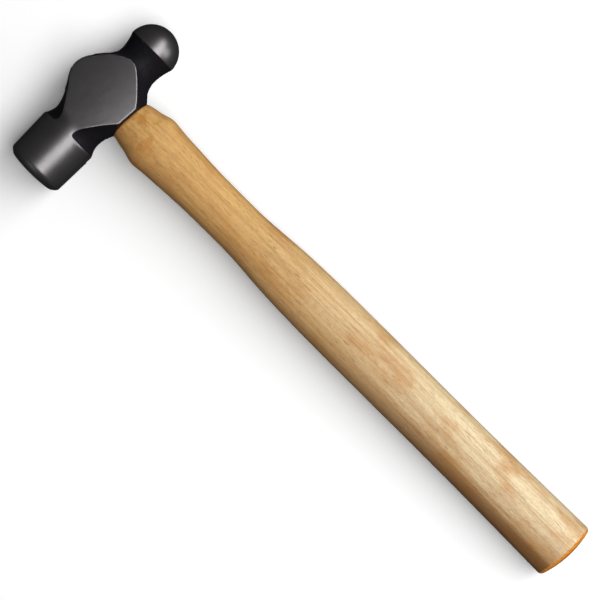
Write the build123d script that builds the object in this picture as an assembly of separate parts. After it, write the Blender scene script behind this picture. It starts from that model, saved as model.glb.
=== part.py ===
from build123d import *
import math
import os

# Ball peen hammer, 24 ounce head on a wooden handle.
#
# All lengths are millimetres. The shapes are first drawn in the design frame, whose origin is
# the middle of the eye: +X runs up the handle and out through the top of the head, +Y runs
# along the head to the striking face and +Z stands out of the hammer's plane. At the end the
# assembly is set down on its side, with the origin under the middle of its bounding box.

# Driving dimensions of the head
FACE_Y = 60.0                # middle of the crowned striking face
FACE_LAND = 4.0              # radius of the small flat land in the middle of the crown
FACE_CROWN_RADIUS = 90.0
BEVEL_INNER = 14.0           # radius where the crown meets the bevel
BEVEL_BACK_Y = FACE_Y - 3.8
BALL_RADIUS = 15.2
BALL_CENTRE_Y = -35.2
POLL_FACE_RADIUS = 17.5      # poll just behind the bevel of the face
POLL_BACK_RADIUS = 18.3      # poll at its back edge
POLL_BACK_Y = 24.5           # where the ground poll stops, over the front neck's hollow
FRONT_NECK_Y = 22.0
FRONT_NECK_RADIUS = 15.5
FRONT_NECK_FLARE = 14.0      # radius of the neck's hollow outline
REAR_NECK_Y = -24.5
REAR_NECK_RADIUS = 13.0
REAR_NECK_FLARE = 29.0
UNDERSIDE_X = -19.2          # flat seat around the eye, against the handle
SEAT_SKEW = 3.4              # degrees that the seat rises towards the face
CROWN_X = 23.9               # flat on the top of the head, around the eye
CHEEK_DROP = 0.05            # the cheeks start this far below the top of the poll
CHEEK_LENGTH_RADIUS = 400.0  # each ground cheek is convex both ways and runs out on the poll
CHEEK_HEIGHT_RADIUS = 170.0
CHEEK_REAR_Y = -26.5         # behind this the forging lies below the cheeks' surface

# Driving dimensions of the eye: half length along Y and half width along Z at each height
EYE_SECTIONS = [(-22.0, 11.9, 8.7), (-4.0, 11.0, 7.8), (12.0, 11.6, 8.6), (28.0, 12.6, 9.8)]
TENON_RECESS = 0.8           # the wood ends this far below the crown of the head

# Driving dimensions of the handle: distance below the head's axis, half width, half thickness
HANDLE_SECTIONS = [
    (16.0, 12.2, 10.0),
    (20.0, 13.0, 10.5),
    (24.0, 14.0, 11.1),
    (30.0, 15.2, 11.9),
    (35.0, 16.6, 12.4),
    (42.0, 16.3, 12.4),
    (55.0, 15.4, 11.8),
    (72.0, 14.5, 11.1),
    (95.0, 14.2, 10.7),
    (112.0, 14.4, 10.9),
    (130.0, 15.7, 11.8),
    (160.0, 17.0, 12.8),
    (200.0, 17.3, 13.1),
    (250.0, 17.2, 13.0),
    (300.0, 17.4, 13.1),
    (345.0, 18.0, 13.5),
    (360.0, 18.2, 13.6),
]
HANDLE_END = 358.0           # lowest point of the domed butt, below the head's axis
BUTT_DOME_RADIUS = 58.0
BUTT_DOME_SHIFT = -2.5       # the dome leans a little towards the ball's side
BUTT_RIM_ROUNDING = 2.0
GRIP_SQUARENESS = 2.3        # 2 would be a plain ellipse, larger is squarer
GRIP_POINTS = 32             # points around each section of the handle

# Wedges, as thickness at the top, thickness at the tip and depth
WOOD_WEDGE = (4.4, 0.8, 27.0)
STEEL_WEDGE = (2.8, 0.8, 17.0)
WOOD_WEDGE_WIDTH = 40.0      # wider than the eye, then trimmed to the tenon
STEEL_WEDGE_WIDTH = 13.0
STEEL_WEDGE_Y = 5.2
STEEL_WEDGE_BARBS = 4
BARB_STEP = 0.3

WEDGE_TOP_X = 30.0           # wedges and eye are drawn past the crown, then trimmed to it
RAYS = 72                    # points around each forged section
SECTION_STEP = 2.5           # spacing of the forged sections along Y
FAR = 60.0                   # farther from the head's axis than any point of the forging
BLOCK = 200.0                # side of the blocks that trim the head, larger than the head


def corner(first, second, cosine, radius):
    """Distance inside a corner of two flats, rounded by an arc.

    first and second are the distances inside each flat and cosine is that of the angle
    between their outward directions.
    """
    u = radius - first
    v = radius - second
    if u <= v * cosine or v <= u * cosine:
        return min(first, second)
    return radius - math.sqrt((u * u + v * v - 2 * u * v * cosine) / (1 - cosine * cosine))


def blend(first, second, width):
    """Larger of two distances, with a soft hollow where they meet."""
    overlap = max(width - abs(first - second), 0.0) / width
    return max(first, second) + overlap * overlap * width / 4


def flare(offset, radius):
    """Rise of a hollow arc at this offset from its lowest point."""
    return radius - math.sqrt(radius * radius - min(offset, 0.8 * radius) ** 2)


def neck_radius(y):
    """Radius of the round forging that joins the poll, the eye block and the ball."""
    if y > FRONT_NECK_Y:
        return FRONT_NECK_RADIUS + flare(y - FRONT_NECK_Y, FRONT_NECK_FLARE)
    if y < REAR_NECK_Y:
        return REAR_NECK_RADIUS + flare(REAR_NECK_Y - y, REAR_NECK_FLARE)
    along = (y - REAR_NECK_Y) / (FRONT_NECK_Y - REAR_NECK_Y)
    ease = (1 - math.cos(math.pi * along)) / 2
    return REAR_NECK_RADIUS + ease * (FRONT_NECK_RADIUS - REAR_NECK_RADIUS)


# Flanks of the diamond-shaped eye block: outward direction in degrees from +X towards +Y,
# distance from the origin at mid thickness and radius of the outline
FLANK_TOP_FRONT = (37.2, 23.7, 1000.0)
FLANK_TOP_REAR = (-38.2, 24.6, 1000.0)
FLANK_LOW_FRONT = (139.4, 22.6, 1000.0)
FLANK_LOW_REAR = (-131.6, 22.5, 48.0)
DRAFT = math.tan(math.radians(13.5))
CROWN_ROUNDING = 15.0
REAR_ROUNDING = 13.5
FRONT_ROUNDING = 6.0
STOCK = 5.0                  # extra forging outside the surfaces that are ground afterwards
NECK_BLEND = 4.0             # width of the hollow between the neck and the eye block
NECK_BLEND_GROWTH = 0.3      # the hollow widens by this much for each millimetre of |z|


def inside_flank(flank, x, y):
    """Distance inside one flank at mid thickness."""
    direction, distance, radius = flank
    reach = distance - radius
    centre_x = reach * math.cos(math.radians(direction))
    centre_y = reach * math.sin(math.radians(direction))
    return radius - math.hypot(x - centre_x, y - centre_y)


def flank_corner(first, second, x, y, radius):
    """Distance inside two neighbouring flanks and the rounded corner between them."""
    cosine = math.cos(math.radians(first[0] - second[0]))
    return corner(inside_flank(first, x, y), inside_flank(second, x, y), cosine, radius)


def inside_forging(x, y, z):
    """Distance inside the rough forging: the round neck blended with the drafted eye block."""
    outline = min(
        flank_corner(FLANK_TOP_FRONT, FLANK_TOP_REAR, x, y, CROWN_ROUNDING),
        flank_corner(FLANK_TOP_REAR, FLANK_LOW_REAR, x, y, REAR_ROUNDING),
        flank_corner(FLANK_TOP_FRONT, FLANK_LOW_FRONT, x, y, FRONT_ROUNDING),
    )
    block = outline - abs(z) * DRAFT
    block = corner(block, POLL_BACK_RADIUS + STOCK - abs(z), 0, STOCK)
    block = corner(block, x - UNDERSIDE_X + STOCK, 0, STOCK)
    width = NECK_BLEND + NECK_BLEND_GROWTH * abs(z)
    return blend(neck_radius(y) - math.hypot(x, z), block, width)


def forged_point(y, angle):
    """Point of the forging's surface on one ray from the head's axis, found by halving."""
    inner = 0.0
    outer = FAR
    while outer - inner > 1e-4:
        middle = (inner + outer) / 2
        if inside_forging(middle * math.cos(angle), y, middle * math.sin(angle)) > 0:
            inner = middle
        else:
            outer = middle
    return (inner * math.cos(angle), y, inner * math.sin(angle))


def closed_curve(points):
    """Smooth closed curve; every section is cut up alike so that a loft stays simple."""
    parameters = [index / len(points) for index in range(len(points) + 1)]
    return Wire([Edge.make_spline(points, periodic=True, parameters=parameters)])


def forging():
    """Rough forging, lofted through sections across the head's axis."""
    first_y = BALL_CENTRE_Y - BALL_RADIUS - STOCK
    count = math.ceil((FACE_Y + STOCK - first_y) / SECTION_STEP)
    wires = []
    for index in range(count + 1):
        y = first_y + index * SECTION_STEP
        points = [forged_point(y, 2 * math.pi * ray / RAYS) for ray in range(RAYS)]
        wires.append(closed_curve(points))
    return Solid.make_loft(wires)


def turned_envelope():
    """Everything the turned surfaces leave: ball, poll, bevel and crowned face."""
    outside = 40.0
    edge_rounding = 1.5
    ball_tip = (0, BALL_CENTRE_Y - BALL_RADIUS)
    ball_side = BALL_RADIUS * math.sin(math.pi / 4)
    equator = (BALL_RADIUS, BALL_CENTRE_Y)

    def crown_y(radius):
        return FACE_Y - (radius**2 - FACE_LAND**2) / (2 * FACE_CROWN_RADIUS)

    crown_middle = (BEVEL_INNER + FACE_LAND) / 2
    outline = [
        ThreePointArc(ball_tip, (ball_side, BALL_CENTRE_Y - ball_side), equator),
        Polyline(
            equator,
            (outside, BALL_CENTRE_Y),
            (outside, POLL_BACK_Y - outside + POLL_BACK_RADIUS),
            (POLL_BACK_RADIUS, POLL_BACK_Y),
            (POLL_FACE_RADIUS, BEVEL_BACK_Y),
            (BEVEL_INNER, crown_y(BEVEL_INNER)),
        ),
        ThreePointArc(
            (BEVEL_INNER, crown_y(BEVEL_INNER)),
            (crown_middle, crown_y(crown_middle)),
            (FACE_LAND, FACE_Y),
        ),
        Polyline((FACE_LAND, FACE_Y), (0, FACE_Y), ball_tip),
    ]
    section = make_face(outline)
    bevel_edge = section.edges().filter_by(lambda edge: edge.center().Y > BEVEL_BACK_Y)
    bevel_edge = bevel_edge.sort_by(Axis.X)[-1]
    return revolve(fillet(bevel_edge.vertices(), edge_rounding), Axis.Y)


def cheek_envelope():
    """Space between the two ground cheeks; it is open at the poll and at the ball."""
    size = 60.0
    top = POLL_BACK_RADIUS - CHEEK_DROP
    side = top - size**2 / (2 * CHEEK_HEIGHT_RADIUS)
    arc = ThreePointArc((-size, side), (0, top), (size, side))
    section = make_face([arc, Polyline((size, side), (size, -size), (-size, -size), (-size, side))])
    axis = Axis((0, POLL_BACK_Y, top - CHEEK_LENGTH_RADIUS), (1, 0, 0))
    sweep_degrees = 14
    start = Plane(origin=(0, POLL_BACK_Y, 0), x_dir=(1, 0, 0), z_dir=(0, -1, 0))
    below_cheek = revolve(start * section, axis, revolution_arc=sweep_degrees)
    open_end = Box(2 * size, size, 2 * size)
    in_front = Pos(0, POLL_BACK_Y + size / 2, 0) * open_end
    behind = Pos(0, CHEEK_REAR_Y - size / 2, 0) * open_end
    return (below_cheek & mirror(below_cheek, Plane.XY)) + in_front + behind


def above_seat():
    """Everything on the head's side of the slightly skewed seat."""
    return Pos(UNDERSIDE_X, 0, 0) * Rot(0, 0, -SEAT_SKEW) * Pos(BLOCK / 2, 0, 0) * Box(BLOCK, BLOCK, BLOCK)


def head_blank():
    """Forged and ground head before the eye is cut."""
    below_crown = Pos(CROWN_X - BLOCK / 2, 0, 0) * Box(BLOCK, BLOCK, BLOCK)
    return forging() & turned_envelope() & cheek_envelope() & below_crown & above_seat()


def across(x):
    """Plane across the handle's axis at this height, with its own X along the head."""
    return Plane(origin=(x, 0, 0), x_dir=(0, 1, 0), z_dir=(1, 0, 0))


def eye():
    """Oval hole, narrowest inside and wider at both ends."""
    return loft([across(x) * Ellipse(length, width) for x, length, width in EYE_SECTIONS])


def handle_section(below, half_width, half_thickness):
    """Rounded oval section of the handle."""
    points = []
    for step in range(GRIP_POINTS):
        angle = 2 * math.pi * step / GRIP_POINTS
        sine = math.sin(angle)
        cosine = math.cos(angle)
        size = (abs(cosine) ** GRIP_SQUARENESS + abs(sine) ** GRIP_SQUARENESS) ** (-1 / GRIP_SQUARENESS)
        points.append((-below, half_width * size * cosine, half_thickness * size * sine))
    return closed_curve(points)


def handle_body():
    """Handle below the head, ending in a domed butt."""
    body = Solid.make_loft([handle_section(*section) for section in HANDLE_SECTIONS])
    dome = Pos(BUTT_DOME_RADIUS - HANDLE_END, BUTT_DOME_SHIFT, 0) * Sphere(BUTT_DOME_RADIUS)
    dome_middle = BUTT_DOME_RADIUS / 2 - HANDLE_END
    above_dome = Pos(dome_middle + HANDLE_END / 2, 0, 0) * Box(HANDLE_END, FAR, FAR)
    body = (body & (dome + above_dome)) - above_seat()
    rim = body.edges().sort_by(Axis.X)[0]
    return fillet(rim, BUTT_RIM_ROUNDING)


def tapered_blade(size, width, barbs=0):
    """Wedge pointing down the handle, as thickness at the top, thickness at the tip, depth."""
    top, tip, depth = size
    length = depth + WEDGE_TOP_X - CROWN_X
    side = [(WEDGE_TOP_X, top / 2)]
    for barb in range(barbs):
        x = CROWN_X - depth * (barb + 1) / (barbs + 1)
        half = (top + (tip - top) * (WEDGE_TOP_X - x) / length) / 2
        side += [(x, half), (x, half - BARB_STEP)]
    side.append((WEDGE_TOP_X - length, tip / 2))
    outline = side + [(x, -half) for x, half in reversed(side)]
    return extrude(make_face(Polyline(*outline, close=True)), width / 2, both=True)


def main():
    os.makedirs("parts", exist_ok=True)
    blank = head_blank()
    hole = eye()
    head = blank - hole
    tenon = hole & (Pos(-TENON_RECESS, 0, 0) * blank)

    steel = tapered_blade(STEEL_WEDGE, STEEL_WEDGE_WIDTH, STEEL_WEDGE_BARBS)
    front_steel = (Pos(0, STEEL_WEDGE_Y, 0) * steel) & tenon
    rear_steel = (Pos(0, -STEEL_WEDGE_Y, 0) * steel) & tenon
    wood_wedge = (Rot(90, 0, 0) * tapered_blade(WOOD_WEDGE, WOOD_WEDGE_WIDTH)) & tenon
    wood_wedge = wood_wedge - front_steel - rear_steel
    handle = handle_body() + tenon - wood_wedge - front_steel - rear_steel

    pieces = {
        "hammer_head": head,
        "handle": handle,
        "wooden_wedge": wood_wedge,
        "steel_wedge_front": front_steel,
        "steel_wedge_rear": rear_steel,
    }
    box = Compound(list(pieces.values())).bounding_box()
    middle = box.center()
    for name, piece in pieces.items():
        export_step(Pos(-middle.X, -middle.Y, -box.min.Z) * piece, f"parts/{name}.step")
        print(name, round(piece.volume / 1000, 2), "cm3")
    print("size", box.size, "origin", middle.X, middle.Y, box.min.Z)


main()
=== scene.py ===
import math

import bpy
import numpy as np
from mathutils import Matrix, Vector, noise


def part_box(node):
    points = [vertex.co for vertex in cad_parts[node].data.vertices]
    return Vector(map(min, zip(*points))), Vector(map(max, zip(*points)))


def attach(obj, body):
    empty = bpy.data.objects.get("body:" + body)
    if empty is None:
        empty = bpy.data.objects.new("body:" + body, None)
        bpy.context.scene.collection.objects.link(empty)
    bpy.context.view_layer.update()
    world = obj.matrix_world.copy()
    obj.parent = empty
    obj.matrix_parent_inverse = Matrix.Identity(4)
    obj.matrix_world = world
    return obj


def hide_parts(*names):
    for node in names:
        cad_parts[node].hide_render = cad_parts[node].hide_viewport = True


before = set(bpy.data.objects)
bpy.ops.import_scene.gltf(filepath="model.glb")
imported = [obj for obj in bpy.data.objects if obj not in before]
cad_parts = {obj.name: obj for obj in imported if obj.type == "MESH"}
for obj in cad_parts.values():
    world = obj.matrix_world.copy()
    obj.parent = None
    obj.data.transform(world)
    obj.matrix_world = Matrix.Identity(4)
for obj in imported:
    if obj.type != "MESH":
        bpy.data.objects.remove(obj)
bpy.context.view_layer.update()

# The hammer is drawn in millimetres in its own design frame, whose origin is the middle of the
# eye: +X runs up the handle and out through the top of the head, +Y runs along the head to the
# striking face and +Z stands out of the hammer's plane. to_frame() places it in the row frame.
MM = 0.001

# Driving dimensions of the head
FACE_Y = 60.0                        # middle of the crowned striking face
FACE_LAND = 4.0                      # radius of the flat land in the middle of the crown
FACE_CROWN_RADIUS = 90.0
BEVEL_INNER = 14.0                   # radius where the crown meets the bevel
BEVEL_BACK_Y = FACE_Y - 3.8
BEVEL_ROUNDING = 1.5                 # the bevel's two edges are rounded over this size
BALL_RADIUS = 15.2
BALL_CENTRE_Y = -35.2
POLL_FACE_RADIUS = 17.5              # poll just behind the bevel of the face
POLL_BACK_RADIUS = 18.3              # poll at its back edge
POLL_BACK_Y = 24.5
FRONT_NECK_Y = 22.0
FRONT_NECK_RADIUS = 15.5
FRONT_NECK_FLARE = 14.0              # radius of the neck's hollow outline
REAR_NECK_Y = -24.5
REAR_NECK_RADIUS = 13.0
REAR_NECK_FLARE = 29.0
FLARE_LIMIT = 0.8                    # share of its radius over which a flare rises
UNDERSIDE_X = -19.2                  # flat seat around the eye, against the handle
SEAT_RISE = math.tan(math.radians(3.4))
CROWN_X = 23.9                       # flat on the top of the head, around the eye
CHEEK_TOP = POLL_BACK_RADIUS - 0.05  # the cheeks start just below the top of the poll
CHEEK_LENGTH_RADIUS = 400.0
CHEEK_HEIGHT_RADIUS = 175.0
CHEEK_RUN_OUT = 3.5                  # half length over which the cheek runs out on the poll
CHEEK_REAR_Y = -26.5
CROWN_ROUNDING = 15.0
REAR_ROUNDING = 13.5
FRONT_ROUNDING = 6.0
STOCK = 5.0                          # forging outside the surfaces that are ground afterwards
NECK_BLEND = 4.0                     # width of the hollow between the neck and the eye block
NECK_BLEND_GROWTH = 0.3              # its growth for each millimetre of |z|
DRAFT = math.tan(math.radians(13.5))
EDGE_SOFTNESS = 0.55                 # rounding of the ground edges
FAR = 60.0                           # farther from the head's axis than any of its points

# Flanks of the eye block: outward direction in degrees, distance at mid thickness, outline radius
FLANK_TOP_FRONT = (37.2, 23.7, 1000.0)
FLANK_TOP_REAR = (-38.2, 24.6, 1000.0)
FLANK_LOW_FRONT = (139.4, 22.6, 1000.0)
FLANK_LOW_REAR = (-131.6, 22.5, 48.0)

# Relief of the black forged skin
RELIEF_DEPTH = 0.16
RELIEF_SIZE = 4.0
RELIEF_FADE = 1.5                    # it fades away over this depth below the ground surfaces

# Eye: half length along Y and half width along Z at each height
EYE_SECTIONS = [(-22.0, 11.9, 8.7), (-4.0, 11.0, 7.8), (12.0, 11.6, 8.6), (28.0, 12.6, 9.8)]
TENON_RECESS = 0.95                  # a little deeper than the wedges, which stand just proud
STEEL_WEDGES = ("steel_wedge_front", "steel_wedge_rear")

# Driving dimensions of the handle: distance below the head's axis, half width, half thickness
HANDLE_SECTIONS = [
    (16.0, 12.2, 10.0),
    (20.0, 13.0, 10.5),
    (24.0, 14.0, 11.1),
    (30.0, 15.2, 11.9),
    (35.0, 16.6, 12.4),
    (42.0, 16.3, 12.4),
    (55.0, 15.4, 11.8),
    (72.0, 14.5, 11.1),
    (95.0, 14.2, 10.7),
    (112.0, 14.4, 10.9),
    (130.0, 15.7, 11.8),
    (160.0, 17.0, 12.8),
    (200.0, 17.3, 13.1),
    (250.0, 17.2, 13.0),
    (300.0, 17.4, 13.1),
    (345.0, 18.0, 13.5),
    (360.0, 18.2, 13.6),
]
HANDLE_START = 18.0                  # first ring of the handle, below the head's axis
HANDLE_END = 358.0                   # lowest point of the domed butt
SIDE_STOP = HANDLE_END - 6.2         # where the handle's side gives way to the rim of the butt
RIM_SECTION = HANDLE_END - 4.2       # the section here gives the rim its outline
BUTT_DOME_RADIUS = 58.0
BUTT_DOME_SHIFT = -2.5               # the dome leans a little towards the ball's side
BUTT_RIM_ROUNDING = 2.0
BUTT_LOW = 13.5                      # half thickness of the butt, where it rests on the floor
GRIP_SQUARENESS = 2.3                # 2 would be a plain ellipse, larger is squarer

# Fineness of the meshes
HEAD_ANGLES = np.linspace(0, 2 * math.pi, 384, endpoint=False)
EYE_ANGLES = np.linspace(0, 2 * math.pi, 96, endpoint=False)
HANDLE_ANGLES = np.linspace(0, 2 * math.pi, 160, endpoint=False)
HALVINGS = 22
BLOCK_STEP = 0.33                    # spacing of the rings between the ball and the plain poll
BLOCK_END_Y = 34.0                   # from here to the face the poll is plain
HANDLE_STEP = 1.2
POINT_RADIUS = 0.4                   # radius of the last ring before the middle of the face

head_low, head_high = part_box("hammer_head")
EYE = Vector((
    head_high[0] - CROWN_X * MM,
    head_high[1] - FACE_Y * MM,
    (head_low[2] + head_high[2]) / 2,
))


def to_frame(points):
    """Design points in millimetres, as an array, in the row frame in metres."""
    return np.asarray(points) * MM + np.array(EYE)


# ---------------------------------------------------------------- shape of the head


def corner(first, second, cosine, radius):
    """Distance inside a corner of two flats, rounded by an arc."""
    u = radius - first
    v = radius - second
    rounded = (u > v * cosine) & (v > u * cosine)
    square = np.maximum(u * u + v * v - 2 * u * v * cosine, 0) / (1 - cosine * cosine)
    return np.where(rounded, radius - np.sqrt(square), np.minimum(first, second))


def blend(first, second, width):
    """Larger of two distances, with a soft hollow where they meet."""
    overlap = np.maximum(width - np.abs(first - second), 0) / width
    return np.maximum(first, second) + overlap * overlap * width / 4


def soft_min(first, second, width):
    """Smaller of two lengths, with the edge between them eased over this width."""
    overlap = np.maximum(width - np.abs(first - second), 0) / width
    return np.minimum(first, second) - overlap * overlap * width / 4


def flare(offset, radius):
    """Rise of a hollow arc at this offset from its lowest point."""
    return radius - np.sqrt(radius**2 - np.clip(offset, 0, FLARE_LIMIT * radius) ** 2)


def neck_radius(y):
    """Radius of the round forging that joins the poll, the eye block and the ball."""
    along = np.clip((y - REAR_NECK_Y) / (FRONT_NECK_Y - REAR_NECK_Y), 0, 1)
    ease = (1 - np.cos(math.pi * along)) / 2
    radius = REAR_NECK_RADIUS + ease * (FRONT_NECK_RADIUS - REAR_NECK_RADIUS)
    radius += flare(y - FRONT_NECK_Y, FRONT_NECK_FLARE)
    return radius + flare(REAR_NECK_Y - y, REAR_NECK_FLARE)


def inside_flank(flank, x, y):
    """Distance inside one flank of the eye block at mid thickness."""
    direction, distance, radius = flank
    reach = distance - radius
    centre_x = reach * math.cos(math.radians(direction))
    centre_y = reach * math.sin(math.radians(direction))
    return radius - np.hypot(x - centre_x, y - centre_y)


def flank_corner(first, second, x, y, radius):
    """Distance inside two neighbouring flanks and the rounded corner between them."""
    cosine = math.cos(math.radians(first[0] - second[0]))
    return corner(inside_flank(first, x, y), inside_flank(second, x, y), cosine, radius)


def seat_x(y):
    """Height of the slightly skewed seat around the eye, against the handle."""
    return UNDERSIDE_X + SEAT_RISE * y


def inside_forging(x, y, z):
    """Distance inside the rough forging: the round neck blended with the drafted eye block."""
    outline = np.minimum.reduce([
        flank_corner(FLANK_TOP_FRONT, FLANK_TOP_REAR, x, y, CROWN_ROUNDING),
        flank_corner(FLANK_TOP_REAR, FLANK_LOW_REAR, x, y, REAR_ROUNDING),
        flank_corner(FLANK_TOP_FRONT, FLANK_LOW_FRONT, x, y, FRONT_ROUNDING),
    ])
    block = outline - np.abs(z) * DRAFT
    block = corner(block, POLL_BACK_RADIUS + STOCK - np.abs(z), 0, STOCK)
    block = corner(block, x - UNDERSIDE_X + STOCK, 0, STOCK)
    width = NECK_BLEND + NECK_BLEND_GROWTH * np.abs(z)
    return blend(neck_radius(y) - np.hypot(x, z), block, width)


def farthest_inside(inside, shape):
    """Largest distance on each ray that is still inside, found by halving."""
    inner = np.zeros(shape)
    outer = inner + FAR
    for _ in range(HALVINGS):
        middle = (inner + outer) / 2
        found = inside(middle) > 0
        inner = np.where(found, middle, inner)
        outer = np.where(found, outer, middle)
    return inner


def forged_radius(y, angle):
    """Distance from the head's axis to the forging on each ray."""
    def inside(radius):
        return inside_forging(radius * np.cos(angle), y, radius * np.sin(angle))

    return farthest_inside(inside, np.broadcast(y, angle).shape)


def crown_height(y, z):
    """Height of the head's top above these points, where the eye comes out."""
    top = farthest_inside(lambda x: inside_forging(x, y, z), np.broadcast(y, z).shape)
    return np.minimum(top, CROWN_X)


def cheek_radius(y, angle):
    """Distance from the head's axis to the surface of the ground cheek on each ray."""
    up = np.abs(np.cos(angle))
    out = np.abs(np.sin(angle))
    top = CHEEK_TOP - (POLL_BACK_Y - y) ** 2 / (2 * CHEEK_LENGTH_RADIUS)
    return 2 * top / (out + np.sqrt(out**2 + 2 * up**2 * top / CHEEK_HEIGHT_RADIUS))


def ball_radius(y):
    """Radius of the turned ball, and far away past its crease."""
    past_equator = np.clip(BALL_CENTRE_Y - y, 0, BALL_RADIUS)
    return np.where(y > BALL_CENTRE_Y, FAR, np.sqrt(BALL_RADIUS**2 - past_equator**2))


def poll_radius(y):
    """Radius of the turned poll, slightly smaller towards the face."""
    taper = (POLL_BACK_RADIUS - POLL_FACE_RADIUS) / (BEVEL_BACK_Y - POLL_BACK_Y)
    return POLL_BACK_RADIUS - (y - POLL_BACK_Y) * taper


def cheek_share(y):
    """1 on the cheeks and 0 on the poll and the ball, with a smooth run out at the poll."""
    along = np.clip((POLL_BACK_Y + CHEEK_RUN_OUT - y) / (2 * CHEEK_RUN_OUT), 0, 1)
    return np.where(y > CHEEK_REAR_Y, along * along * (3 - 2 * along), 0.0)


def flat_radius(y, angle):
    """Distance from the head's axis to the nearer of the crown's and the seat's flats."""
    up = np.cos(angle)
    level = 0.05                     # rays closer to level than this meet neither flat
    crown = np.where(up > level, CROWN_X / np.maximum(up, level), FAR)
    seat = np.where(up < -level, -seat_x(y) / np.maximum(-up, level), FAR)
    return np.minimum(crown, seat)


def ground_radius(y, angle):
    """Distance from the head's axis to the nearest bright ground surface on each ray."""
    turned = np.where(y < 0, ball_radius(y), poll_radius(y))
    share = cheek_share(y)
    return share * cheek_radius(y, angle) + (1 - share) * turned


def scale_relief(points):
    """Low bumps left by the hammer dies and the furnace scale, in millimetres."""
    return np.array([RELIEF_DEPTH * noise.fractal(Vector(p) / RELIEF_SIZE, 0.9, 2.0, 3) for p in points])


def tube(rings, start, end):
    """Vertices and faces of a tube through rings of points, each end closed to a point."""
    count = len(rings[0])
    verts = [tuple(p) for ring in rings for p in ring] + [tuple(start), tuple(end)]
    start_vert = len(verts) - 2
    end_vert = len(verts) - 1
    last = (len(rings) - 1) * count
    faces = []
    for low in range(0, last, count):
        for i in range(count):
            j = (i + 1) % count
            faces.append((low + i, low + j, low + count + j, low + count + i))
    faces += [((i + 1) % count, i, start_vert) for i in range(count)]
    faces += [(last + i, last + (i + 1) % count, end_vert) for i in range(count)]
    return verts, faces


def rounded_path(points, size):
    """Path through these points with its inner corners rounded over this size."""
    path = [np.array(points[0])]
    for before, here, after in zip(points, points[1:], points[2:]):
        before, here, after = np.array(before), np.array(here), np.array(after)
        start = here + (before - here) * size / np.linalg.norm(before - here)
        end = here + (after - here) * size / np.linalg.norm(after - here)
        for t in np.linspace(0, 1, 5):
            path.append((1 - t) ** 2 * start + 2 * t * (1 - t) * here + t * t * end)
    path.append(np.array(points[-1]))
    return path


def new_object(name, verts, faces):
    """Smooth-shaded object in the scene from design points."""
    mesh = bpy.data.meshes.new(name)
    mesh.from_pydata(to_frame(verts).tolist(), [], faces)
    mesh.polygons.foreach_set("use_smooth", [True] * len(mesh.polygons))
    mesh.validate()
    mesh.update()
    obj = bpy.data.objects.new(name, mesh)
    bpy.context.scene.collection.objects.link(obj)
    return obj


def cut(target, tool, operation):
    """Boolean of target with tool; the tool is then removed."""
    modifier = target.modifiers.new("cut", "BOOLEAN")
    modifier.operation = operation
    modifier.object = tool
    modifier.solver = "EXACT"
    depsgraph = bpy.context.evaluated_depsgraph_get()
    mesh = bpy.data.meshes.new_from_object(target.evaluated_get(depsgraph))
    target.modifiers.clear()
    target.data = mesh
    bpy.data.objects.remove(tool)


def copy_of(piece):
    """New object with the same mesh in the same place."""
    obj = bpy.data.objects.new("copy", piece.data.copy())
    obj.matrix_world = piece.matrix_world
    bpy.context.scene.collection.objects.link(obj)
    return obj


def eye_size(x):
    """Half length along Y and half width along Z of the eye at height x."""
    heights, lengths, widths = np.array(EYE_SECTIONS).T
    length = np.polyval(np.polyfit(heights, lengths, 3), x)
    width = np.polyval(np.polyfit(heights, widths, 3), x)
    return length, width


def eye_ring(x):
    """Oval ring of the eye at height x, which is one number or one for each point."""
    length, width = eye_size(x)
    height = x + 0 * EYE_ANGLES
    return np.stack([height, length * np.cos(EYE_ANGLES), width * np.sin(EYE_ANGLES)], 1)


def eye_plug():
    """Solid that fills the eye and comes out past both ends of it."""
    bottom = UNDERSIDE_X - 2
    top = CROWN_X + 3
    rings = [eye_ring(x) for x in np.linspace(bottom, top, 24)]
    verts, faces = tube(rings, (bottom, 0, 0), (top, 0, 0))
    return new_object("eye_plug", verts, faces)


def head_ring(y, radius):
    """Ring round the head's axis; the radius is one number or one for each ray."""
    radius = radius + 0 * HEAD_ANGLES
    along = y + 0 * HEAD_ANGLES
    return np.stack([radius * np.cos(HEAD_ANGLES), along, radius * np.sin(HEAD_ANGLES)], 1)


def ball_rings():
    """Rings from the tip of the ball almost to its widest place."""
    first_turn = 0.03
    rings = []
    for turn in np.linspace(first_turn, math.pi / 2, 56)[:-1]:
        y = BALL_CENTRE_Y - BALL_RADIUS * math.cos(turn)
        rings.append(head_ring(y, BALL_RADIUS * math.sin(turn)))
    return rings


def block_rings():
    """Rings from the ball's widest place over the eye block to the plain part of the poll."""
    ys = np.arange(BALL_CENTRE_Y, BLOCK_END_Y, BLOCK_STEP)[:, None]
    black = soft_min(forged_radius(ys, HEAD_ANGLES), flat_radius(ys, HEAD_ANGLES), EDGE_SOFTNESS)
    ground = ground_radius(ys, HEAD_ANGLES)
    radius = soft_min(black, ground, EDGE_SOFTNESS)
    rings = []
    for y, row, depth in zip(ys[:, 0], radius, ground - black):
        share = np.clip(depth / RELIEF_FADE, 0, 1)
        rings.append(head_ring(y, row + share * scale_relief(head_ring(y, row))))
    return rings


def face_y(radius):
    """Place of the striking face at this radius: a flat land inside a gentle crown."""
    return FACE_Y - max(radius**2 - FACE_LAND**2, 0) / (2 * FACE_CROWN_RADIUS)


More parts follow.
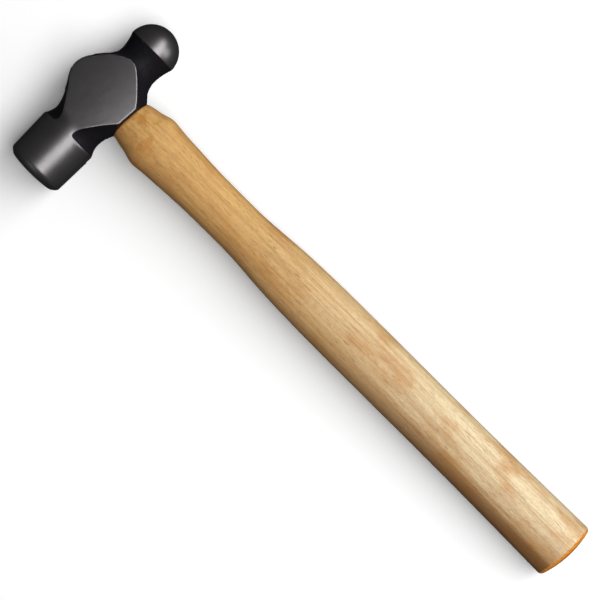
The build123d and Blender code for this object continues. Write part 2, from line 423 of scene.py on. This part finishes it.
def face_rings():
    """Rings from the plain part of the poll over the bevel to the middle of the face."""
    corners = [
        (BLOCK_END_Y, poll_radius(BLOCK_END_Y)),
        (BEVEL_BACK_Y, POLL_FACE_RADIUS),
        (face_y(BEVEL_INNER), BEVEL_INNER),
        (FACE_Y, FACE_LAND),
    ]
    profile = rounded_path(corners, BEVEL_ROUNDING)
    straight = np.linspace(profile[0], profile[1], 30)
    rings = [head_ring(y, radius) for y, radius in list(straight) + profile[2:-1]]
    crown_edge = profile[-2][1]
    for radius in np.linspace(crown_edge, POINT_RADIUS, 30)[1:]:
        rings.append(head_ring(face_y(radius), radius))
    return rings


def store(obj, name, values):
    """Keeps one number for each vertex, for the materials to read."""
    attribute = obj.data.attributes.new(name, "FLOAT", "POINT")
    attribute.data.foreach_set("value", np.asarray(values, dtype=np.float32))


def design_points(obj):
    """The object's vertices in the design frame, in millimetres."""
    points = np.empty(3 * len(obj.data.vertices), dtype=np.float32)
    obj.data.vertices.foreach_get("co", points)
    return (points.reshape(-1, 3) - np.array(EYE)) / MM


def make_head():
    """Forged and ground head with the eye cut through it."""
    rings = ball_rings() + block_rings() + face_rings()
    verts, faces = tube(rings, (0, BALL_CENTRE_Y - BALL_RADIUS, 0), (0, FACE_Y, 0))
    head = new_object("hammer_head_steel", verts, faces)
    cut(head, eye_plug(), "DIFFERENCE")
    mark_surfaces(head)
    return head


def mark_surfaces(head):
    """Stores what the steel needs: how far each point is ground, and the way of the marks."""
    x, y, z = design_points(head).T
    angle = np.arctan2(z, x)
    radius = np.hypot(x, z)
    black = np.minimum(forged_radius(y, angle), flat_radius(y, angle))
    ground = ground_radius(y, angle)
    plain_poll_y = POLL_BACK_Y + 5
    turned_end = (y < BALL_CENTRE_Y) | (y > plain_poll_y)
    length, width = eye_size(x)
    eye_wall = 1.01                  # just outside the oval, so that its wall is taken in
    in_eye = (y / length) ** 2 + (z / width) ** 2 < eye_wall
    store(head, "ground", np.where(in_eye, -1.0, np.where(turned_end, 1.0, black - ground)))
    around_ball = np.arctan2(radius, BALL_CENTRE_Y - y) * BALL_RADIUS
    over_face = y + np.maximum(POLL_FACE_RADIUS - radius, 0)
    store(head, "lathe", np.where(y < 0, around_ball, over_face))
    cheek_depth = 0.3                # points down to this far under the cheek carry its marks
    near_cheek = radius > cheek_radius(y, angle) - cheek_depth
    store(head, "cheek", cheek_share(y) * near_cheek)


# ---------------------------------------------------------------- shape of the handle


def spline(stations, values, at):
    """Natural cubic through the handle's stations."""
    n = len(stations)
    h = np.diff(stations)
    matrix = np.eye(n)
    right = np.zeros(n)
    for i in range(1, n - 1):
        matrix[i, i - 1:i + 2] = h[i - 1], 2 * (h[i - 1] + h[i]), h[i]
        right[i] = 6 * ((values[i + 1] - values[i]) / h[i] - (values[i] - values[i - 1]) / h[i - 1])
    bend = np.linalg.solve(matrix, right)
    i = np.clip(np.searchsorted(stations, at, side="right") - 1, 0, n - 2)
    after = stations[i + 1] - at
    before = at - stations[i]
    curve = (bend[i] * after**3 + bend[i + 1] * before**3) / (6 * h[i])
    curve += (values[i] / h[i] - bend[i] * h[i] / 6) * after
    return curve + (values[i + 1] / h[i] - bend[i + 1] * h[i] / 6) * before


def handle_ring(below):
    """Rounded oval ring of the handle at this distance below the head's axis."""
    stations, widths, depths = np.array(HANDLE_SECTIONS).T
    half_width = spline(stations, widths, np.array([below]))[0]
    half_depth = spline(stations, depths, np.array([below]))[0]
    cosine = np.cos(HANDLE_ANGLES)
    sine = np.sin(HANDLE_ANGLES)
    size = (np.abs(cosine) ** GRIP_SQUARENESS + np.abs(sine) ** GRIP_SQUARENESS) ** (-1 / GRIP_SQUARENESS)
    return np.stack([0 * size - below, half_width * size * cosine, half_depth * size * sine], 1)


def butt_end(points):
    """How far below the head's axis the domed butt lies at these points."""
    offset = np.hypot(points[:, 1] - BUTT_DOME_SHIFT, points[:, 2])
    return HANDLE_END - BUTT_DOME_RADIUS + np.sqrt(BUTT_DOME_RADIUS**2 - offset**2)


def handle_rings():
    """Rings of the handle from the head down over the rounded rim to the middle of the butt."""
    _, width, depth = HANDLE_SECTIONS[-1]
    rim = BUTT_RIM_ROUNDING
    seat_spread = 0.01               # keeps the rings that are pressed against the seat apart
    rings = []
    for below in np.arange(HANDLE_START, SIDE_STOP, HANDLE_STEP):
        ring = handle_ring(below)
        seat = seat_x(ring[:, 1]) - seat_spread * (below - HANDLE_START)
        ring[:, 0] = np.minimum(ring[:, 0], seat)
        rings.append(ring)
    side = handle_ring(RIM_SECTION)
    for turn in np.linspace(0, math.pi / 2, 9):
        inset = rim * (1 - math.cos(turn))
        ring = side * np.array([1, 1 - inset / width, 1 - inset / depth])
        ring[:, 0] = -(butt_end(ring) - rim * (1 - math.sin(turn)))
        rings.append(ring)
    for shrink in np.linspace(0.96, 0.02, 24):
        ring = side * np.array([1, (1 - rim / width) * shrink, (1 - rim / depth) * shrink])
        ring[:, 0] = -butt_end(ring)
        rings.append(ring)
    return rings


def tenon_rim():
    """Height of the tenon's end all round the eye, where the eye meets the crown."""
    rise = CROWN_X + 0 * EYE_ANGLES
    for _ in range(6):
        _, y, z = eye_ring(rise).T
        rise = crown_height(y, z) - TENON_RECESS
    return rise


def make_tenon():
    """Part of the handle inside the eye; its end follows the crown, just below it."""
    rise = tenon_rim()
    bottom = UNDERSIDE_X - 1
    rings = [eye_ring(bottom + part * (rise - bottom)) for part in np.linspace(0, 1, 18)]
    _, rim_y, rim_z = rings[-1].T
    for shrink in np.linspace(0.985, 0.02, 24):
        y = rim_y * shrink
        z = rim_z * shrink
        rings.append(np.stack([crown_height(y, z) - TENON_RECESS, y, z], 1))
    verts, faces = tube(rings, (bottom, 0, 0), (CROWN_X - TENON_RECESS, 0, 0))
    return new_object("tenon", verts, faces)


def make_handle():
    """Handle, butt and tenon in one piece, with the slots of the wedges."""
    rings = handle_rings()
    verts, faces = tube(rings, (UNDERSIDE_X, 0, 0), tuple(rings[-1].mean(axis=0)))
    handle = new_object("hickory_handle", verts, faces)
    cut(handle, make_tenon(), "UNION")
    for name in ("wooden_wedge",) + STEEL_WEDGES:
        cut(handle, copy_of(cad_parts[name]), "DIFFERENCE")
    return handle


# ---------------------------------------------------------------- materials


class Nodes:
    """Short names for building one material's nodes."""

    def __init__(self, name):
        self.material = bpy.data.materials.new(name)
        self.material.use_nodes = True
        self.tree = self.material.node_tree
        self.shader = self.tree.nodes["Principled BSDF"]

    def put(self, socket, value):
        """Sets a socket to a constant or links another socket to it."""
        if isinstance(value, bpy.types.NodeSocket):
            self.tree.links.new(value, socket)
        else:
            socket.default_value = value

    def add(self, kind, inputs=(), **settings):
        """Adds a node; inputs maps a socket's name or number to its value."""
        node = self.tree.nodes.new(kind)
        for key, value in settings.items():
            setattr(node, key, value)
        for key, value in dict(inputs).items():
            self.put(node.inputs[key], value)
        return node

    def math(self, operation, first, second=0.0):
        return self.add("ShaderNodeMath", {0: first, 1: second}, operation=operation).outputs[0]

    def vector(self, operation, first, second):
        return self.add("ShaderNodeVectorMath", {0: first, 1: second}, operation=operation).outputs[0]

    def length(self, first):
        return self.add("ShaderNodeVectorMath", {0: first}, operation="LENGTH").outputs["Value"]

    def noise(self, vector, scale, detail=3.0, roughness=0.5):
        inputs = {"Vector": vector, "Scale": scale, "Detail": detail, "Roughness": roughness}
        return self.add("ShaderNodeTexNoise", inputs).outputs["Fac"]

    def stretch(self, vector, scale):
        """The vector scaled differently along each axis."""
        return self.vector("MULTIPLY", vector, scale)

    def grain(self, place, along, across, detail=3.0, roughness=0.6):
        """Noise drawn out along the handle, with this many features to the metre each way."""
        return self.noise(self.stretch(place, (along, across, across)), 1.0, detail, roughness)

    def span(self, value, low, high, first=0.0, last=1.0):
        """Smooth step from first to last as value goes from low to high."""
        inputs = {"Value": value, "From Min": low, "From Max": high, "To Min": first, "To Max": last}
        return self.add("ShaderNodeMapRange", inputs, interpolation_type="SMOOTHSTEP").outputs["Result"]

    def mix(self, factor, first, second):
        """Mix of two colours."""
        node = self.add("ShaderNodeMix", {0: factor}, data_type="RGBA")
        self.put(node.inputs[6], first)
        self.put(node.inputs[7], second)
        return node.outputs[2]

    def blend(self, factor, first, second):
        """Mix of two numbers."""
        inputs = {0: factor, 2: first, 3: second}
        return self.add("ShaderNodeMix", inputs, data_type="FLOAT").outputs[0]

    def attribute(self, name):
        return self.add("ShaderNodeAttribute", attribute_name=name).outputs["Fac"]

    def bump(self, height, distance, strength=1.0):
        inputs = {"Height": height, "Distance": distance, "Strength": strength}
        return self.add("ShaderNodeBump", inputs).outputs["Normal"]

    def set(self, **inputs):
        """Sets the shader's sockets, with underscores for spaces in their names."""
        for key, value in inputs.items():
            self.put(self.shader.inputs[key.replace("_", " ")], value)


def steel_material():
    """Dark satin ground steel, black forged skin between the ground surfaces."""
    n = Nodes("forged_steel")
    place = n.add("ShaderNodeTexCoord").outputs["Object"]
    wobble = n.math("MULTIPLY", n.math("SUBTRACT", n.noise(place, 900.0, 2.0), 0.5), 0.2)
    ground = n.span(n.math("ADD", n.attribute("ground"), wobble), -0.03, 0.05)

    # Turning marks run round the ball and the poll, grinding marks run across the cheeks
    lathe = n.add("ShaderNodeCombineXYZ", {"X": n.attribute("lathe")}).outputs[0]
    along = n.stretch(place, (60.0, 25.0, 60.0))
    turning = n.noise(n.vector("ADD", n.stretch(lathe, (6.0, 0.0, 0.0)), along), 1.0, 4.0, 0.6)
    grinding = n.noise(n.stretch(place, (2600.0, 110.0, 300.0)), 1.0, 3.0, 0.6)
    marks = n.blend(n.attribute("cheek"), turning, grinding)
    clouds = n.noise(place, 70.0, 4.0, 0.55)
    specks = n.span(n.noise(place, 1700.0, 2.0), 0.66, 0.74)

    bright = n.mix(clouds, (0.15, 0.142, 0.145, 1), (0.21, 0.203, 0.208, 1))
    bright = n.mix(n.math("MULTIPLY", marks, 0.4), bright, (0.11, 0.103, 0.106, 1))
    bright = n.mix(n.math("MULTIPLY", specks, 0.5), bright, (0.04, 0.035, 0.035, 1))
    black = n.mix(n.noise(place, 240.0, 4.0), (0.004, 0.0035, 0.005, 1), (0.009, 0.008, 0.011, 1))
    n.set(Base_Color=n.mix(ground, black, bright))
    n.set(Metallic=n.math("MULTIPLY", ground, 0.95))
    n.set(Specular_Tint=n.mix(ground, (1, 1, 1, 1), (0.4, 0.39, 0.41, 1)))
    n.set(Specular_IOR_Level=0.1)
    satin = n.span(marks, 0.2, 0.8, 0.32, 0.41)
    skin = n.span(n.noise(place, 500.0, 3.0), 0.2, 0.8, 0.5, 0.68)
    n.set(Roughness=n.blend(ground, skin, satin))
    scale = n.noise(place, 620.0, 5.0, 0.62)
    n.set(Normal=n.bump(n.blend(ground, scale, n.math("MULTIPLY", marks, 0.1)), 0.00016))
    return n.material


# Tones of the wood, from its palest to its darkest, and of its sealed end grain
HICKORY = {
    "pale": (0.8, 0.65, 0.4, 1),
    "honey": (0.68, 0.4, 0.135, 1),
    "red": (0.56, 0.275, 0.085, 1),
    "dark": (0.36, 0.18, 0.05, 1),
    "end": (0.75, 0.27, 0.03, 1),
}
WEDGE_WOOD = {
    "pale": (0.6, 0.42, 0.22, 1),
    "honey": (0.5, 0.34, 0.16, 1),
    "red": (0.42, 0.26, 0.12, 1),
    "dark": (0.3, 0.18, 0.08, 1),
    "end": (0.8, 0.6, 0.34, 1),
}
KNOT = tuple(EYE + Vector((-45, 7, 12)) * MM)        # middle of the small knot, near the head


def growth_rings(n, place, knot):
    """Late wood and early wood of rings about a far pith, bent gently and lifted round a knot."""
    pith = (0.0, 0.045, -0.075)
    ring_width = 0.0019
    from_pith = n.stretch(n.vector("SUBTRACT", place, pith), (0.0, 1.0, 1.0))
    warp = n.grain(place, 9.0, 28.0, 2.0, 0.5)
    from_knot = n.length(n.stretch(n.vector("SUBTRACT", place, knot), (70.0, 160.0, 160.0)))
    knot_lift = n.math("EXPONENT", n.math("MULTIPLY", n.math("MULTIPLY", from_knot, from_knot), -1.0))
    depth = n.math("ADD", n.length(from_pith), n.math("MULTIPLY", warp, 0.011))
    depth = n.math("ADD", depth, n.math("MULTIPLY", knot_lift, 0.0045))
    season = n.math("FRACT", n.math("DIVIDE", depth, ring_width))
    return n.math("POWER", season, 2.2), n.span(season, 0.0, 0.28, 1.0, 0.0)


def hickory_material(name, tones, knot):
    """Lacquered straight-grained wood: growth rings, fibres, pores, darker end grain and painted shade on
    the side away from the key light.
    """
    n = Nodes(name)
    place = n.add("ShaderNodeTexCoord").outputs["Object"]
    spot = n.add("ShaderNodeSeparateXYZ", {0: place})
    normal = n.add("ShaderNodeSeparateXYZ", {0: n.add("ShaderNodeNewGeometry").outputs["True Normal"]})
    end = n.span(n.math("ABSOLUTE", normal.outputs["X"]), 0.3, 0.45)

    late, early = growth_rings(n, place, knot)
    fibres = n.grain(place, 30.0, 2400.0)
    streaks = n.grain(place, 9.0, 560.0, 4.0)
    bands = n.grain(place, 5.0, 130.0, 3.0, 0.55)
    blotches = n.grain(place, 34.0, 90.0, 4.0)
    flecks = n.grain(place, 500.0, 1300.0)
    dashes = n.span(n.grain(place, 190.0, 2600.0, 1.0, 0.5), 0.6, 0.67)
    pores = n.math("MULTIPLY", dashes, n.math("ADD", n.math("MULTIPLY", early, 0.6), 0.4))

    # Redder towards the striking face, partly heartwood and partly painted shade on that side, which
    # faces away from the key light; painted shade darkest there towards the butt; golden brown near the
    # head
    side = n.math("ADD", spot.outputs["Y"], n.math("MULTIPLY", n.math("SUBTRACT", bands, 0.5), 0.03))
    # Redder on the side towards the striking face: partly heartwood tone, partly painted shade on the
    # side away from the key light
    heartwood_and_shade = n.span(side, -0.009, 0.012)
    # Painted shade: dark brown on the side towards the striking face, which faces away from the key
    # light, strongest towards the butt
    painted_shade = n.span(spot.outputs["X"], -0.18, 0.03, 0.85, 0.0)
    painted_shade = n.math("MULTIPLY", n.span(side, -0.008, 0.013), painted_shade)
    golden = n.span(n.math("ADD", spot.outputs["X"], n.math("MULTIPLY", bands, 0.05)), -0.08, 0.12)
    resin = n.span(n.grain(place, 110.0, 75.0), 0.5, 0.64)
    resin = n.math("MULTIPLY", resin, n.span(spot.outputs["X"], 0.112, 0.138, 0.0, 0.6))
    layers = [
        # partly heartwood tone, partly painted shade
        (n.math("MULTIPLY", heartwood_and_shade, 0.6), tones["red"]),
        (n.span(blotches, 0.45, 0.68, 0.0, 0.7), tones["red"]),
        (n.span(streaks, 0.38, 0.72, 0.0, 0.48), tones["dark"]),
        (n.span(fibres, 0.42, 0.75, 0.0, 0.36), tones["dark"]),
        (n.span(flecks, 0.45, 0.75, 0.0, 0.3), tones["dark"]),
        (n.math("MULTIPLY", late, 0.14), tones["dark"]),
        (resin, (0.42, 0.15, 0.02, 1)),
        # painted shade on the side away from the key light
        (painted_shade, (0.19, 0.07, 0.01, 1)),
        (n.math("MULTIPLY", pores, 0.6), (0.16, 0.06, 0.02, 1)),
    ]
    colour = n.mix(golden, tones["pale"], tones["honey"])
    for share, tone in layers:
        colour = n.mix(share, colour, tone)
    ends = n.mix(n.math("MULTIPLY", late, 0.5), tones["end"], (0.2, 0.07, 0.015, 1))
    ends = n.mix(n.math("MULTIPLY", dashes, 0.5), ends, (0.05, 0.02, 0.006, 1))
    n.set(Base_Color=n.mix(end, colour, ends))
    n.set(Roughness=n.span(fibres, 0.2, 0.8, 0.42, 0.58))
    n.set(Coat_Weight=0.22)
    n.set(Coat_Roughness=0.34)
    n.set(Specular_IOR_Level=0.3)
    grain = n.math("SUBTRACT", n.math("MULTIPLY", fibres, 0.4), n.math("MULTIPLY", pores, 0.9))
    n.set(Normal=n.bump(grain, 0.00012, 0.8))
    return n.material


def wedge_steel_material():
    """Mild steel wedge, sheared and a little rusty."""
    n = Nodes("wedge_steel")
    place = n.add("ShaderNodeTexCoord").outputs["Object"]
    rust = n.span(n.noise(place, 800.0, 4.0, 0.6), 0.5, 0.68)
    n.set(Base_Color=n.mix(rust, (0.55, 0.54, 0.53, 1), (0.16, 0.08, 0.045, 1)))
    n.set(Metallic=n.math("SUBTRACT", 0.95, n.math("MULTIPLY", rust, 0.7)))
    n.set(Roughness=n.math("ADD", 0.38, n.math("MULTIPLY", rust, 0.3)))
    n.set(Normal=n.bump(n.noise(n.stretch(place, (400.0, 2600.0, 400.0)), 1.0, 3.0), 0.00012))
    return n.material


def cover(obj, material):
    """The material as the object's only one."""
    obj.data.materials.clear()
    obj.data.materials.append(material)


def give(obj, material):
    """Material for one piece."""
    cover(obj, material)


# ---------------------------------------------------------------- studio


def floor():
    """Pale floor, tilted so that the poll and the butt both rest on it."""
    reach = 4.0
    lift = EYE.z - BUTT_LOW * MM
    slope = lift / (HANDLE_END * MM)
    mesh = bpy.data.meshes.new("floor")
    outline = ((-reach, -reach), (reach, -reach), (reach, reach), (-reach, reach))
    corners = [(x, y, (EYE.x - x) * slope) for x, y in outline]
    mesh.from_pydata(corners, [], [(0, 1, 2, 3)])
    obj = bpy.data.objects.new("floor", mesh)
    bpy.context.scene.collection.objects.link(obj)
    n = Nodes("floor")
    n.set(Base_Color=(0.93, 0.93, 0.93, 1), Roughness=0.9, Specular_IOR_Level=0.1)
    n.set(Emission_Color=(1, 1, 1, 1), Emission_Strength=0.13)
    mesh.materials.append(n.material)
    obj.visible_glossy = False
    obj.visible_diffuse = False


def area_light(name, place, target, size, radiance):
    """Soft rectangular light that faces the target, its second side as near to Y as it can be."""
    data = bpy.data.lights.new(name, "AREA")
    data.shape = "RECTANGLE"
    data.size, data.size_y = size
    data.energy = radiance * math.pi * size[0] * size[1]
    back = (place - target).normalized()
    right = Vector((0, 1, 0)).cross(back).normalized()
    up = back.cross(right)
    obj = bpy.data.objects.new(name, data)
    obj.matrix_world = Matrix.Translation(place) @ Matrix((right, up, back)).transposed().to_4x4()
    bpy.context.scene.collection.objects.link(obj)


def studio():
    """Long soft box above the butt on the ball's side and two weaker lights, all in a dim room."""
    world = bpy.data.worlds.new("studio")
    world.use_nodes = True
    background = world.node_tree.nodes["Background"]
    background.inputs["Color"].default_value = (1, 1, 1, 1)
    background.inputs["Strength"].default_value = 0.07
    bpy.context.scene.world = world
    height = 1.35
    lean = math.tan(math.radians(28))
    strip = EYE + Vector((-lean * height, -2.2, height))
    area_light("strip", strip, Vector((EYE.x, strip.y, EYE.z)), (0.95, 5.2), 5.0)
    area_light("fill", EYE + Vector((-2.3, -1.7, 1.0)), EYE, (1.4, 1.4), 3.0)
    area_light("far side", EYE + Vector((0.2, 2.4, 0.9)), EYE, (1.2, 2.0), 0.5)
    bpy.context.scene.view_settings.view_transform = "Standard"


def camera():
    """Camera high above the lying hammer, the handle running to the lower right."""
    data = bpy.data.cameras.new("camera")
    data.sensor_width = 36.0
    data.lens = 164.75
    place = Vector((-0.12, 0.02, 1.5198))
    middle_of_picture = Vector((0.01108, -0.00039, EYE.z))
    back = (place - middle_of_picture).normalized()
    right = Vector((1, -1, 0)).cross(back).normalized()
    up = back.cross(right)
    obj = bpy.data.objects.new("camera", data)
    obj.location = place
    obj.rotation_euler = Matrix((right, up, back)).transposed().to_euler()
    bpy.context.scene.collection.objects.link(obj)
    bpy.context.scene.camera = obj


head = make_head()
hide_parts("hammer_head")
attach(head, "root")
give(head, steel_material())

handle = make_handle()
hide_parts("handle")
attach(handle, "root")
give(handle, hickory_material("hickory", HICKORY, KNOT))

cover(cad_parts["wooden_wedge"], hickory_material("wedge_wood", WEDGE_WOOD, KNOT))
wedge_steel = wedge_steel_material()
for name in STEEL_WEDGES:
    cover(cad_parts[name], wedge_steel)

floor()
studio()
camera()
